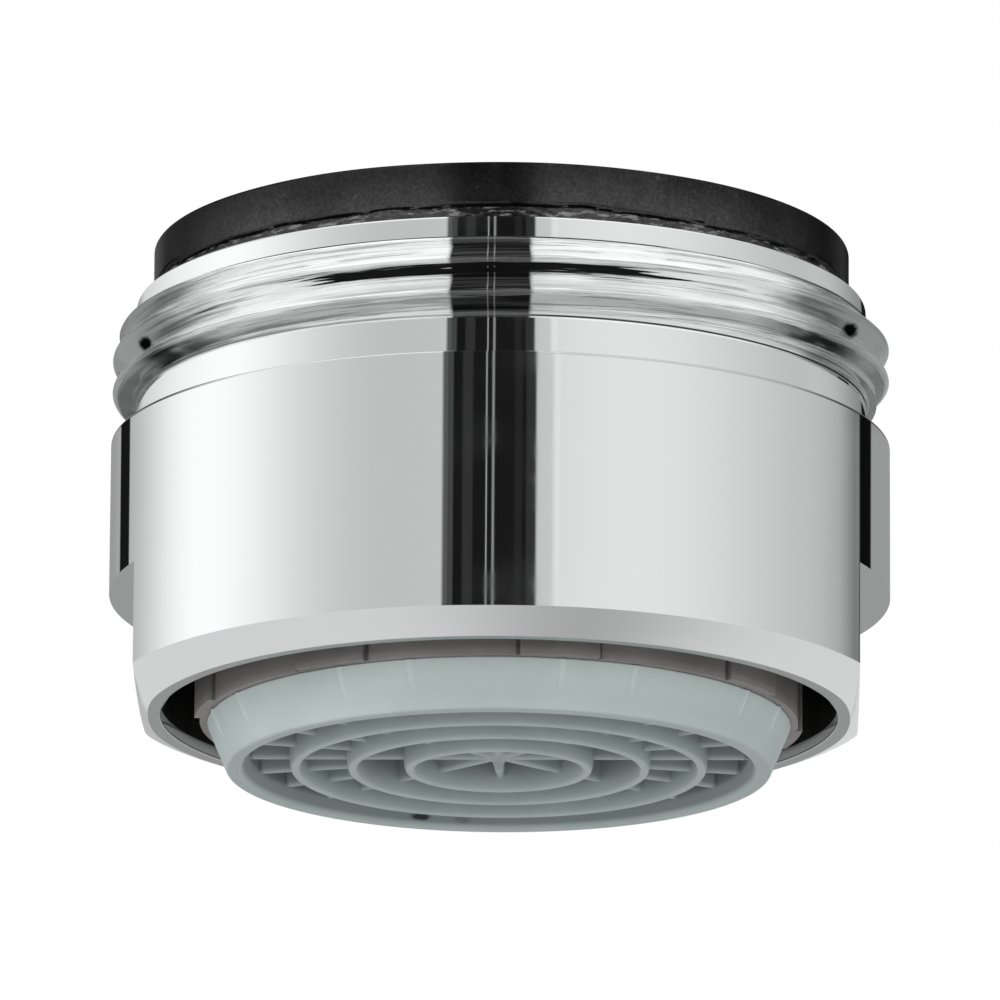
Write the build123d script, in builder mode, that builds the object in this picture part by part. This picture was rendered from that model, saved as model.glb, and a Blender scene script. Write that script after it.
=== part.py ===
# Tap aerator with a male thread, standing on its outlet with the thread up.
# Millimetres. The origin is on the axis, in the plane of the outlet's lower rim, and +Z points to the spout.
import os
from math import cos, radians, sin

from build123d import *

# Housing, turned brass: radial sizes, from the thread inwards
thread_diameter = 23.9
body_step = 0.02  # body beyond the thread
neck_depth = 0.65  # runout groove below the thread
collar_depth = 0.69  # plain lead above the thread
collar_wall = 0.46
seat_step = 0.44  # width of the ledge that carries the insert
flat_depth = 0.97  # depth of each wrench flat, 22 mm across the two

# Housing: heights
body_height = 8.49
neck_height = 1.45
thread_length = 2.28
thread_chamfer = 0.33  # height of the lead at the thread's upper end
collar_height = 0.64
seat_depth = 1.92  # ledge below the housing's upper rim
flat_height = 3.79

# Housing: the mouth's outer edge, two chamfers that follow a rounded form
steep_chamfer_width = 0.55
steep_chamfer_height = 0.41
shallow_chamfer_width = 0.63
shallow_chamfer_height = 0.24

# Insert casing
seat_clearance = 0.15  # flange to seat bore
air_gap = 1.21  # air passage between casing and housing
casing_wall = 0.75
casing_reach = 11.1  # below the ledge
flange_thickness = 0.7
window_count = 8
window_width = 3.6
window_height = 2.4
window_drop = 0.3  # windows below the jet plate
tab_count = 8
tab_angle = 15.0
tab_turn = 12.5
tab_rise = 0.17
tab_height = 4.0

# Radial play of what slides into the casing or the washer
fit_clearance = 0.1

# Jet plate
plate_thickness = 0.7
plate_spigot = 0.6  # step that centres the plate in the casing
jet_width = 0.9
jet_sides = 6
jet_inset = 1.2  # outer row of jets from the spigot's edge
jet_row_gap = 1.8
outer_jets = 12
inner_jets = 6

# Sealing washer
washer_clearance = 0.06
washer_width = 2.34
washer_thickness = 2.37
washer_bevel = 0.1

# Filter screen
screen_rim_width = 0.8
screen_height = 1.5
screen_wall = 0.5
screen_bevel = 0.5
button_diameter = 2.6  # plain middle of the screen
slot_width = 0.5
screen_bar_width = 0.45  # solid left between the rows of slots
outer_slots = 16
inner_slots = 8

# Mixing grids
mixer_rim = 0.8
mixer_height = 1.5
mixer_bar_height = 0.9
mixer_bar_width = 0.45
mesh_pitch = 3.8
mesh_turn = 45.0  # lower grid against the upper one

# Outlet grid
skirt_inset = 0.21  # skirt inside the casing's outline
skirt_taper = 0.63
skirt_height = 1.5
rim_width = 0.41
spigot_height = 2.0  # part of the outlet inside the casing
spigot_wall = 0.7
ring_count = 3
ring_wall = 0.2
eye_diameter = 5.72
hub_diameter = 0.9
grid_height = 2.4
spoke_recess = 0.45  # spokes above the outlet's rim
spoke_width = 0.36
outer_spokes = 24
eye_spokes = 8

# Radii that follow from the sizes above
thread_r = thread_diameter / 2
body_r = thread_r + body_step
neck_r = thread_r - neck_depth
collar_r = thread_r - collar_depth
break_r = body_r - steep_chamfer_width
lip_r = break_r - shallow_chamfer_width
seat_r = collar_r - collar_wall
bore_r = seat_r - seat_step
flat_x = body_r - flat_depth
flange_r = seat_r - seat_clearance
casing_r = bore_r - air_gap
casing_bore_r = casing_r - casing_wall
tab_r = casing_r + tab_rise
insert_r = casing_bore_r - fit_clearance
washer_r = seat_r - washer_clearance
washer_bore_r = washer_r - washer_width
screen_r = washer_bore_r - fit_clearance
skirt_top_r = casing_r - skirt_inset
rim_r = skirt_top_r - skirt_taper
rim_bore_r = rim_r - rim_width
spigot_bore_r = insert_r - spigot_wall
mixer_bore_r = insert_r - mixer_rim
eye_r = eye_diameter / 2
hub_r = hub_diameter / 2
cell_width = (rim_bore_r - eye_r - (ring_count - 1) * ring_wall) / ring_count

# Heights that follow, counted from the outlet's rim
casing_z = skirt_height
spigot_z = casing_z + spigot_height
seat_z = casing_z + casing_reach
flange_z = seat_z + flange_thickness
plate_z = flange_z + plate_thickness
collar_z = seat_z + seat_depth
thread_top_z = collar_z - collar_height
thread_z = thread_top_z - thread_length
shoulder_z = thread_z - neck_height
mouth_z = shoulder_z - body_height
break_z = mouth_z + shallow_chamfer_height
plate_end_z = flange_z - plate_spigot
window_z = plate_end_z - window_drop - window_height

os.makedirs("parts", exist_ok=True)


# Housing: one turned profile, then the two flats
with BuildPart() as housing:
    with BuildSketch(Plane.XZ):
        with BuildLine():
            Polyline(
                (bore_r, mouth_z),
                (lip_r, mouth_z),
                (break_r, break_z),
                (body_r, break_z + steep_chamfer_height),
                (body_r, shoulder_z),
                (neck_r, shoulder_z),
                (neck_r, thread_z),
                (thread_r, thread_z),
                (thread_r, thread_top_z - thread_chamfer),
                (collar_r, thread_top_z),
                (collar_r, collar_z),
                (seat_r, collar_z),
                (seat_r, seat_z),
                (bore_r, seat_z),
                close=True,
            )
        make_face()
    revolve(axis=Axis.Z)
    with Locations((flat_x, 0, mouth_z)):
        Box(body_r, 2 * body_r, flat_height, align=(Align.MIN, Align.CENTER, Align.MIN), mode=Mode.SUBTRACT)
    with Locations((-flat_x, 0, mouth_z)):
        Box(body_r, 2 * body_r, flat_height, align=(Align.MAX, Align.CENTER, Align.MIN), mode=Mode.SUBTRACT)

housing.part.label = "housing"
export_step(housing.part, "parts/housing.step")


# Sealing washer: a flat rubber ring with a bevelled upper edge
with BuildPart() as washer:
    with BuildSketch(Plane.XY.offset(plate_z)):
        Circle(washer_r)
        Circle(washer_bore_r, mode=Mode.SUBTRACT)
    extrude(amount=washer_thickness)
    chamfer(washer.edges().group_by(Axis.Z)[-1].sort_by(SortBy.RADIUS)[-1], washer_bevel)

washer.part.label = "sealing_washer"
export_step(washer.part, "parts/sealing_washer.step")


# Insert casing: flanged sleeve with air windows and raised tabs at its lower end
with BuildPart() as casing:
    with BuildSketch(Plane.XZ):
        with BuildLine():
            Polyline(
                (casing_bore_r, casing_z),
                (casing_r, casing_z),
                (casing_r, seat_z),
                (flange_r, seat_z),
                (flange_r, flange_z),
                (casing_bore_r, flange_z),
                close=True,
            )
        make_face()
    revolve(axis=Axis.Z)
    with BuildSketch(Plane.XY.offset(casing_z)):
        Circle(tab_r)
        Circle(casing_r - tab_rise, mode=Mode.SUBTRACT)
        # wedges that clear the ring between one tab and the next
        gap_half = radians(180 / tab_count - tab_angle / 2)
        with PolarLocations(0, tab_count, start_angle=tab_turn + 180 / tab_count):
            Polygon(
                (0, 0),
                (2 * tab_r * cos(gap_half), -2 * tab_r * sin(gap_half)),
                (2 * tab_r * cos(gap_half), 2 * tab_r * sin(gap_half)),
                align=None,
                mode=Mode.SUBTRACT,
            )
    extrude(amount=tab_height)
    with Locations((0, 0, window_z + window_height / 2)):
        with PolarLocations(casing_r - casing_wall / 2, window_count):
            Box(2 * casing_wall, window_width, window_height, mode=Mode.SUBTRACT)

casing.part.label = "insert_casing"
export_step(casing.part, "parts/insert_casing.step")


# Jet plate: a disc on the casing's flange, centred by a spigot, with two rows of fine jets
with BuildPart() as jet_plate:
    with BuildSketch(Plane.XY.offset(flange_z)):
        Circle(flange_r)
    extrude(amount=plate_thickness)
    with BuildSketch(Plane.XY.offset(flange_z)):
        Circle(insert_r)
    extrude(amount=-plate_spigot)
    with BuildSketch(Plane.XY.offset(plate_z)):
        with PolarLocations(insert_r - jet_inset, outer_jets):
            RegularPolygon(jet_width / 2, jet_sides)
        with PolarLocations(insert_r - jet_inset - jet_row_gap, inner_jets):
            RegularPolygon(jet_width / 2, jet_sides)
    extrude(amount=-plate_thickness - plate_spigot, mode=Mode.SUBTRACT)

jet_plate.part.label = "jet_plate"
export_step(jet_plate.part, "parts/jet_plate.step")


# Filter screen: a shallow cap on the jet plate, with two rows of slots round a plain middle
with BuildPart() as screen:
    screen_z = plate_z + screen_height
    screen_bore_r = screen_r - screen_rim_width
    with BuildSketch(Plane.XY.offset(plate_z)):
        Circle(screen_r)
    extrude(amount=screen_height)
    chamfer(screen.edges().group_by(Axis.Z)[-1], screen_bevel)
    with BuildSketch(Plane.XY.offset(plate_z)):
        Circle(screen_bore_r)
    extrude(amount=screen_height - screen_wall, mode=Mode.SUBTRACT)
    slot_length = (screen_bore_r - button_diameter / 2 - 2 * screen_bar_width) / 2
    inner_slot_r = button_diameter / 2 + slot_length / 2
    with BuildSketch(Plane.XY.offset(screen_z)):
        with PolarLocations(inner_slot_r + slot_length + screen_bar_width, outer_slots):
            Rectangle(slot_length, slot_width)
        with PolarLocations(inner_slot_r, inner_slots):
            Rectangle(slot_length, slot_width)
    extrude(amount=-screen_wall, mode=Mode.SUBTRACT)

screen.part.label = "filter_screen"
export_step(screen.part, "parts/filter_screen.step")


# Mixing grids: two like pieces, each crossed bars in a rim, the lower one turned against the upper
mixer_nodes = (
    ("lower_mixing_grid", spigot_z, mesh_turn),
    ("upper_mixing_grid", spigot_z + mixer_height, 0),
)
for node, grid_z, turn in mixer_nodes:
    with BuildPart() as mixing_grid:
        with BuildSketch(Plane.XY.offset(grid_z)):
            Circle(insert_r)
            Circle(mixer_bore_r, mode=Mode.SUBTRACT)
        extrude(amount=mixer_height)
        with BuildSketch(Plane.XY.offset(grid_z).rotated((0, 0, turn))):
            bar_rows = int(mixer_bore_r / mesh_pitch)
            for row in range(-bar_rows, bar_rows + 1):
                with Locations((0, row * mesh_pitch)):
                    Rectangle(2 * insert_r, mixer_bar_width)
                with Locations((row * mesh_pitch, 0)):
                    Rectangle(mixer_bar_width, 2 * insert_r)
            Circle(mixer_bore_r + mixer_rim / 2, mode=Mode.INTERSECT)
        extrude(amount=mixer_bar_height)
    mixing_grid.part.label = node
    export_step(mixing_grid.part, f"parts/{node}.step")


# Outlet grid: tapered skirt and spigot, rings level with the rim, and spokes set back from it
with BuildPart() as outlet:
    with BuildSketch(Plane.XZ):
        with BuildLine():
            Polyline(
                (rim_bore_r, 0),
                (rim_r, 0),
                (skirt_top_r, casing_z),
                (insert_r, casing_z),
                (insert_r, spigot_z),
                (spigot_bore_r, spigot_z),
                (spigot_bore_r, spoke_recess),
                close=True,
            )
        make_face()
    revolve(axis=Axis.Z)
    with BuildSketch(Plane.XY):
        for ring in reversed(range(ring_count)):
            ring_r = eye_r + ring * (cell_width + ring_wall)
            Circle(ring_r)
            Circle(ring_r - ring_wall, mode=Mode.SUBTRACT)
    extrude(amount=grid_height)
    with BuildSketch(Plane.XY.offset(spoke_recess)):
        second_r = eye_r + cell_width + ring_wall / 2
        outer_length = spigot_bore_r + spigot_wall / 2 - second_r
        with PolarLocations(second_r + outer_length / 2, outer_spokes):
            Rectangle(outer_length, spoke_width)
        with PolarLocations(second_r / 2, eye_spokes):
            Rectangle(second_r, spoke_width)
        Circle(hub_r)
    extrude(amount=grid_height - spoke_recess)

outlet.part.label = "outlet_grid"
export_step(outlet.part, "parts/outlet_grid.step")
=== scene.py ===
import bmesh
import bpy
import numpy as np
from mathutils import Matrix, Vector


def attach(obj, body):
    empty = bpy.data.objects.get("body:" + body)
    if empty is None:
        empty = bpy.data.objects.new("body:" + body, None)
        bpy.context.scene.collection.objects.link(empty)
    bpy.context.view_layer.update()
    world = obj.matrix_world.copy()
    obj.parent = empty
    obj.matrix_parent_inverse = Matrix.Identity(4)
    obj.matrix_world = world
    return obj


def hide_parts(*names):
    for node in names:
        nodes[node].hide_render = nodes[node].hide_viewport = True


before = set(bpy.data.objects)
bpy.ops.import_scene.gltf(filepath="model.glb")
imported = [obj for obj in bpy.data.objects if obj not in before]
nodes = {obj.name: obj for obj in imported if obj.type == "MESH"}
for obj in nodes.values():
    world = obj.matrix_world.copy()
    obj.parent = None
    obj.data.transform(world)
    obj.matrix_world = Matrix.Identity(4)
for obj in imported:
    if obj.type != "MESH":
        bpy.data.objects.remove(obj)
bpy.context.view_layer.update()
mm = 0.001  # sizes below are in millimetres, Blender's in metres
print("frame loaded:", len(nodes), "nodes")


# Surfaces: grids of points worked out with numpy

def meshFromGrids(name, grids, creaseAngle=18.0):
    # each grid is rows x columns of points; quads join neighbours, and a wrap flag closes the grid on itself
    points, quads, parts, start = [], [], [], 0
    for grid, wrapRows, wrapColumns, part in grids:
        rows, columns = grid.shape[:2]
        index = start + np.arange(rows * columns).reshape(rows, columns)
        partOfRow = np.broadcast_to(np.asarray(part), (rows,))
        if wrapRows:
            index = np.vstack((index, index[:1]))
        else:
            partOfRow = partOfRow[:-1]
        if wrapColumns:
            index = np.hstack((index, index[:, :1]))
        corners = (index[:-1, :-1], index[:-1, 1:], index[1:, 1:], index[1:, :-1])
        quads.append(np.stack(corners, -1).reshape(-1, 4))
        parts.append(np.repeat(partOfRow, index.shape[1] - 1))
        points.append(grid.reshape(-1, 3))
        start += rows * columns
    points, quads, parts = np.concatenate(points) * mm, np.concatenate(quads), np.concatenate(parts)
    mesh = bpy.data.meshes.new(name)
    mesh.vertices.add(len(points))
    mesh.vertices.foreach_set("co", points.ravel())
    mesh.loops.add(quads.size)
    mesh.loops.foreach_set("vertex_index", quads.ravel())
    mesh.polygons.add(len(quads))
    mesh.polygons.foreach_set("loop_start", np.arange(0, quads.size, 4))
    mesh.polygons.foreach_set("material_index", parts.astype(np.int32))
    mesh.update(calc_edges=True)
    sheet = bmesh.new()
    sheet.from_mesh(mesh)
    bmesh.ops.remove_doubles(sheet, verts=sheet.verts, dist=2e-7)
    bmesh.ops.dissolve_degenerate(sheet, dist=1e-8, edges=sheet.edges)
    bmesh.ops.recalc_face_normals(sheet, faces=sheet.faces)
    sheet.to_mesh(mesh)
    sheet.free()
    mesh.polygons.foreach_set("use_smooth", np.ones(len(mesh.polygons), bool))
    mesh.set_sharp_from_angle(angle=np.radians(creaseAngle))
    piece = bpy.data.objects.new(name, mesh)
    bpy.context.scene.collection.objects.link(piece)
    return piece


def lathe(profile, angles):
    # a profile of (radius, height) carried round the axis: x = r cos a, y = r sin a, z = height
    radius, height = profile[:, :1], profile[:, 1:]
    return np.stack((radius * np.cos(angles), radius * np.sin(angles), height + 0 * angles), -1)


def fullTurn(columns):
    return np.linspace(0, 2 * np.pi, columns, endpoint=False)[None, :]


def roundedProfile(corners, guard=0.02):
    # each corner (radius, height, round, steps) becomes an arc tangent to both sides;
    # a guard point beyond each end of the arc keeps the long sides' shading straight
    corner = np.array([c[:2] for c in corners], float)
    before, after = np.roll(corner, 1, 0), np.roll(corner, -1, 0)
    toBefore = (before - corner) / np.linalg.norm(before - corner, axis=1, keepdims=True)
    toAfter = (after - corner) / np.linalg.norm(after - corner, axis=1, keepdims=True)
    half = np.arccos(np.clip((toBefore * toAfter).sum(1), -1, 1)) / 2
    line = []
    for i, (_, _, bend, steps) in enumerate(corners):
        reach = bend / np.tan(half[i])
        middle = toBefore[i] + toAfter[i]
        centre = corner[i] + middle / np.linalg.norm(middle) * bend / np.sin(half[i])
        first = corner[i] + toBefore[i] * reach - centre
        last = corner[i] + toAfter[i] * reach - centre
        sweep = np.pi - 2 * half[i]
        turn = np.linspace(0, 1, steps + 1)[:, None]
        arc = (np.sin((1 - turn) * sweep) * first + np.sin(turn * sweep) * last) / np.sin(sweep)
        line.append(corner[i] + toBefore[i] * (reach + guard))
        line.extend(centre + arc)
        line.append(corner[i] + toAfter[i] * (reach + guard))
    return np.array(line)


def waves(angle, seed, counts, size):
    # a slow closed ripple round the axis: a sum of sines with whole numbers of waves to the turn
    phase = np.random.default_rng(seed).uniform(0, 2 * np.pi, len(counts))
    return size * sum(np.sin(n * angle + p) for n, p in zip(counts, phase)) / len(counts)


def smooth(low, high, value):
    t = np.clip((value - low) / (high - low), 0, 1)
    return t * t * (3 - 2 * t)


# Shader helpers

number, vector = "NodeSocketFloat", "NodeSocketVector"


def feed(tree, node, values):
    # a socket is linked, and anything else becomes the input's own value
    for name, value in values.items():
        if isinstance(value, bpy.types.NodeSocket):
            tree.links.new(value, node.inputs[name])
        else:
            node.inputs[name].default_value = value


def addNode(tree, kind, values=None, **settings):
    node = tree.nodes.new(kind)
    for key, value in settings.items():
        setattr(node, key, value)
    feed(tree, node, values or {})
    return node


def calc(tree, operation, first, second=0.0):
    return addNode(tree, "ShaderNodeMath", {0: first, 1: second}, operation=operation).outputs[0]


def chained(operation):
    # the operation carried along any number of values
    def run(tree, first, *others):
        for other in others:
            first = calc(tree, operation, first, other)
        return first
    return run


times, plus, minus, most = (chained(operation) for operation in ("MULTIPLY", "ADD", "SUBTRACT", "MAXIMUM"))


def inMm(tree, value):
    return calc(tree, "DIVIDE", value, mm)


def apart(tree, value, middle):
    # how far a value lies from a middle one, to either side
    return calc(tree, "ABSOLUTE", minus(tree, value, middle))


def shaken(tree, field, size):
    # a noise field, centred on zero and scaled
    return times(tree, minus(tree, field, 0.5), size)


def axes(tree, place):
    return addNode(tree, "ShaderNodeSeparateXYZ", {0: place}).outputs


def bearingOf(tree, parts):
    # degrees round the axis from the front (-Y), growing to the right (+X)
    return calc(tree, "DEGREES", calc(tree, "ARCTAN2", parts["X"], times(tree, parts["Y"], -1.0)))


def ramp(tree, value, low, high, toLow=0.0, toHigh=1.0):
    values = {"Value": value, "From Min": low, "From Max": high, "To Min": toLow, "To Max": toHigh}
    return addNode(tree, "ShaderNodeMapRange", values, interpolation_type="SMOOTHSTEP").outputs[0]


def blend(tree, factor, first, second):
    # the mix node's colours are sockets 6, 7 and 2, as its names repeat for every kind of data
    return addNode(tree, "ShaderNodeMix", {0: factor, 6: first, 7: second}, data_type="RGBA").outputs[2]


def noise(tree, place, scale, detail=3.0, roughness=0.55):
    values = {"Vector": place, "Scale": scale, "Detail": detail, "Roughness": roughness}
    return addNode(tree, "ShaderNodeTexNoise", values).outputs["Fac"]


def newGroup(name, inputs, outputs):
    # an input is a vector where it has no number of its own
    group = bpy.data.node_groups.new(name, "ShaderNodeTree")
    for label, value in inputs.items():
        kind = vector if value is None else number
        socket = group.interface.new_socket(name=label, in_out="INPUT", socket_type=kind)
        if kind == number:
            socket.default_value = value
    for label, kind in outputs.items():
        group.interface.new_socket(name=label, in_out="OUTPUT", socket_type=kind)
    return group, group.nodes.new("NodeGroupInput").outputs, group.nodes.new("NodeGroupOutput")


def useGroup(tree, group, values):
    return addNode(tree, "ShaderNodeGroup", values, node_tree=group).outputs


def newMaterial(name, values):
    material = bpy.data.materials.new(name)
    material.use_nodes = True
    tree = material.node_tree
    shader = tree.nodes["Principled BSDF"]
    feed(tree, shader, values)
    return material, tree, shader, tree.nodes.new("ShaderNodeTexCoord").outputs["Object"]


def bumpInto(tree, shader, height, strength, distance):
    bump = addNode(tree, "ShaderNodeBump", {"Height": height, "Strength": strength, "Distance": distance})
    feed(tree, shader, {"Normal": bump.outputs[0]})


def makeMouldGrain():
    # fine height and slow tone changes of moulded plastic or rubber
    tree, given, result = newGroup("mouldGrain", {"Place": None, "Scale": 9000.0}, {"Height": number, "Tone": number})
    height = noise(tree, given["Place"], given["Scale"], 4.0, 0.6)
    cloud = noise(tree, given["Place"], 420.0, 3.0, 0.5)
    feed(tree, result, {"Height": height, "Tone": ramp(tree, cloud, 0.3, 0.7)})
    return tree


def makeSettledDust():
    # small pale specks that gather in patches
    tree, given, result = newGroup("settledDust", {"Place": None, "Amount": 0.3}, {"Mask": number})
    specks = ramp(tree, noise(tree, given["Place"], 5200.0, 2.0, 0.7), 0.60, 0.72)
    patches = ramp(tree, noise(tree, given["Place"], 650.0, 2.0, 0.5), 0.42, 0.66)
    feed(tree, result, {"Mask": times(tree, specks, patches, given["Amount"])})
    return tree


def makeTurningMarks():
    # lines round the axis, from noise stretched along the turn
    tree, given, result = newGroup(
        "turningMarks", {"Place": None, "Pitch": 9000.0, "Along": 6.0}, {"Height": number},
    )
    parts = axes(tree, given["Place"])
    angle = calc(tree, "ARCTAN2", parts["Y"], parts["X"])
    coords = addNode(tree, "ShaderNodeCombineXYZ", {
        "X": times(tree, calc(tree, "SINE", angle), given["Along"]),
        "Y": times(tree, calc(tree, "COSINE", angle), given["Along"]),
        "Z": times(tree, parts["Z"], given["Pitch"]),
    }).outputs[0]
    feed(tree, result, {"Height": noise(tree, coords, 1.0, 3.0, 0.6)})
    return tree


def makeThreadPlace():
    # where a point lies between one crest (0) and the root half a pitch above or below it (0.5, -0.5),
    # and streak coordinates that run along the ridge and shift a little with height
    tree, given, result = newGroup(
        "threadPlace",
        {"Place": None, "First Crest": 0.0, "Pitch": 1.0, "Along": 3.0, "Across": 20.0},
        {"Phase": number, "Ridge": number, "Bearing": number, "Streak": vector},
    )
    parts = axes(tree, given["Place"])
    angle = calc(tree, "ARCTAN2", parts["Y"], parts["X"])
    height = inMm(tree, parts["Z"])
    rise = calc(tree, "DIVIDE", minus(tree, height, given["First Crest"]), given["Pitch"])
    turns = minus(tree, rise, calc(tree, "DIVIDE", angle, 2 * np.pi))
    phase = minus(tree, calc(tree, "FRACT", plus(tree, turns, 0.5)), 0.5)
    along = times(tree, calc(tree, "COSINE", angle), given["Along"])
    feed(tree, result, {
        "Phase": phase,
        "Ridge": minus(tree, turns, phase),
        "Bearing": bearingOf(tree, parts),
        "Streak": addNode(tree, "ShaderNodeCombineXYZ", {
            "X": plus(tree, along, times(tree, height, 0.6)),
            "Y": times(tree, calc(tree, "SINE", angle), given["Along"]),
            "Z": times(tree, phase, given["Across"]),
        }).outputs[0],
    })
    return tree


def makeRingPlace():
    # radius and height of a point about the axis, and its angle folded into equal sectors
    tree, given, result = newGroup(
        "ringPlace",
        {"Place": None, "Turn": 0.0, "Sector": 45.0},
        {"Radius": number, "Height": number, "Off Middle": number},
    )
    x, y, z = axes(tree, given["Place"])
    angle = calc(tree, "DEGREES", calc(tree, "ARCTAN2", y, x))
    shift = calc(tree, "DIVIDE", minus(tree, angle, given["Turn"]), given["Sector"])
    fold = apart(tree, calc(tree, "FRACT", plus(tree, shift, 0.5)), 0.5)
    square = plus(tree, times(tree, x, x), times(tree, y, y))
    feed(tree, result, {
        "Radius": inMm(tree, calc(tree, "SQRT", square)),
        "Height": inMm(tree, z),
        "Off Middle": times(tree, fold, given["Sector"]),
    })
    return tree


mouldGrain, settledDust, turningMarks = makeMouldGrain(), makeSettledDust(), makeTurningMarks()
threadPlace, ringPlace = makeThreadPlace(), makeRingPlace()


# Finishes; a named ramp is its start and end and, where they aren't 0 and 1, its values there

def ramps(tree, look):
    # ramps for one tree, called by the names they have in a dictionary
    return lambda value, name: ramp(tree, value, *look[name])


chromeLook = {
    # the second colour and the ramps below paint shade along the shoulder's edge
    "colour": (0.893, 0.905, 0.908, 1), "edgeShadeTone": (0.03, 0.03, 0.03, 1),
    "smudgeNoise": (260.0, 4.0, 0.6), "smudge": (0.45, 0.75), "roughness": (0.0, 1.0, 0.025, 0.07),
    "marks": {"Pitch": 16000.0, "Along": 3.0}, "bump": (0.004, 0.00002),
    "edgeShadeFoot": (-0.10, -0.075), "edgeShadeTop": (-0.01, -0.003, 1.0, 0.0),  # by height from the shoulder's edge
    "edgeShadeLeft": (-36.0, -60.0, 0.0, 0.98), "edgeShadeRight": (6.0, 12.0, 0.0, 0.25),  # by bearing
    "edgeShadeFarRight": (40.0, 63.0, 0.0, 0.95), "edgeShadeEnds": (78.0, 100.0, 1.0, 0.0),
}


def chromePlate(edge):
    # a thin painted shade lies along the shoulder's edge in front, strongest toward both flats
    look = chromeLook
    material, tree, shader, place = newMaterial("chromePlate", {"Metallic": 1.0})
    by = ramps(tree, look)
    parts = axes(tree, place)
    bearing = bearingOf(tree, parts)
    fromEdge = minus(tree, inMm(tree, parts["Z"]), edge)
    right = most(tree, by(bearing, "edgeShadeRight"), by(bearing, "edgeShadeFarRight"))
    inSight = by(calc(tree, "ABSOLUTE", bearing), "edgeShadeEnds")
    along = times(tree, plus(tree, by(bearing, "edgeShadeLeft"), right), inSight)
    darkMark = times(tree, by(fromEdge, "edgeShadeFoot"), by(fromEdge, "edgeShadeTop"), along)
    smudge = by(noise(tree, place, *look["smudgeNoise"]), "smudge")
    feed(tree, shader, {
        "Base Color": blend(tree, darkMark, look["colour"], look["edgeShadeTone"]),
        "Roughness": by(smudge, "roughness"),
    })
    marks = useGroup(tree, turningMarks, {"Place": place, **look["marks"]})
    bumpInto(tree, shader, marks["Height"], *look["bump"])
    return material


threadLook = {
    # the third tone is for painted dark reflection and for nicks
    "bright": (0.92, 0.93, 0.925, 1), "rubbed": (0.46, 0.47, 0.465, 1), "paintedDarkAndNickTone": (0.004, 0.004, 0.004, 1),
    "dull": (0.19, 0.195, 0.192, 1), "dullPale": (0.36, 0.37, 0.365, 1), "tipTone": (0.45, 0.46, 0.455, 1),
    "streaks": ((3.6, 26.0), (2.2, 13.0), (4.0, 2.5)),  # fine, torn and broad: scale along and across the ridge
    "lines": (1.0, 4.0, 0.65), "shreds": (1.0, 2.0, 0.45), "patches": (1.0, 3.0, 0.55),  # noise along those three
    "middle": -0.5, "paintedDarkReflection": (5.6, 6.5, 1.0, 0.0),  # bearing of the painted dark reflection in front, and its edge
    "glints": (-0.93, 0.05), "glint": (0.06, 0.14, 0.86, 1.0),  # bearings of two painted glint lines across the painted dark reflection
    "wander": 0.34, "crest": -0.09, "crestHighlight": (0.05, 0.10, 0.87, 0.995),  # phase of a painted highlight along each crest in the painted dark reflection
    "rims": (11.46, 13.69), "rimHighlight": (0.04, 0.09, 0.90, 0.995),  # heights of the painted highlight lines near both ends
    "darkReflectionShreds": (0.45, 0.62, 1.0, 0.965),
    "gapTop": (-0.09, -0.15), "gapFoot": (-0.45, -0.36),  # by phase
    "limit": (4.0, 44.0, 0.26, 0.70), "black": (-0.025, 0.025, 0.0, 0.993), "greyGap": (9.0, 36.0, 0.45, 0.06),
    "lowGap": (41.0, 55.0, 0.40, 0.95), "lowGapEnds": (60.0, 72.0, 0.0, -0.45),
    "lowGapPatches": (0.32, 0.55, 0.55, 1.0),
    "higherRidge": (1.4, 1.6), "lastRidge": (2.4, 2.6, 1.0, 0.0),  # by the ridge's number
    "score": 0.27, "scoreLine": (0.02, 0.06, 0.6, 0.0), "scorePatches": (0.4, 0.5),
    "edges": (11.44, 13.75), "edgeSoft": 0.03,  # heights of the dark lines along the lower and upper ends
    "topBreaks": (0.36, 0.46, 0.25, 0.95), "footLine": (0.02, 0.04, 1.0, 0.0), "footSides": (-8.0, 10.0, 0.6, 0.95),
    "spots": ((-10.78, 13.49, 0.22), (10.72, 13.94, 0.24)),  # two pits: side, height in sight from the front, radius
    "sightSlope": 0.254, "spotEdge": (0.55, 1.35), "spotNoise": 3600.0, "spotRagged": 0.17,
    "loose": 24.0, "ends": (42.0, 62.0), "fade": (54.0, 68.0, 1.0, 0.3),  # by bearing from the middle
    "fineStreak": (0.54, 0.64, 0.0, 0.9), "tornStreak": (0.54, 0.60, 0.0, 0.8), "nick": (0.36, 0.30),
    "upperFlank": (0.02, 0.12, 1.0, 0.45), "nickPatches": (0.45, 0.6, 0.2, 0.8), "sideToneMix": (-0.10, 0.10),
    "tipEnds": (60.0, 72.0), "tipHeight": (13.6, 12.4, 0.2, 0.85),
    "metallic": (0.0, 1.0, 0.55, 0.0), "roughness": (0.3, 0.7, 0.06, 0.15), "bump": (0.16, 0.00004),
}


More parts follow.
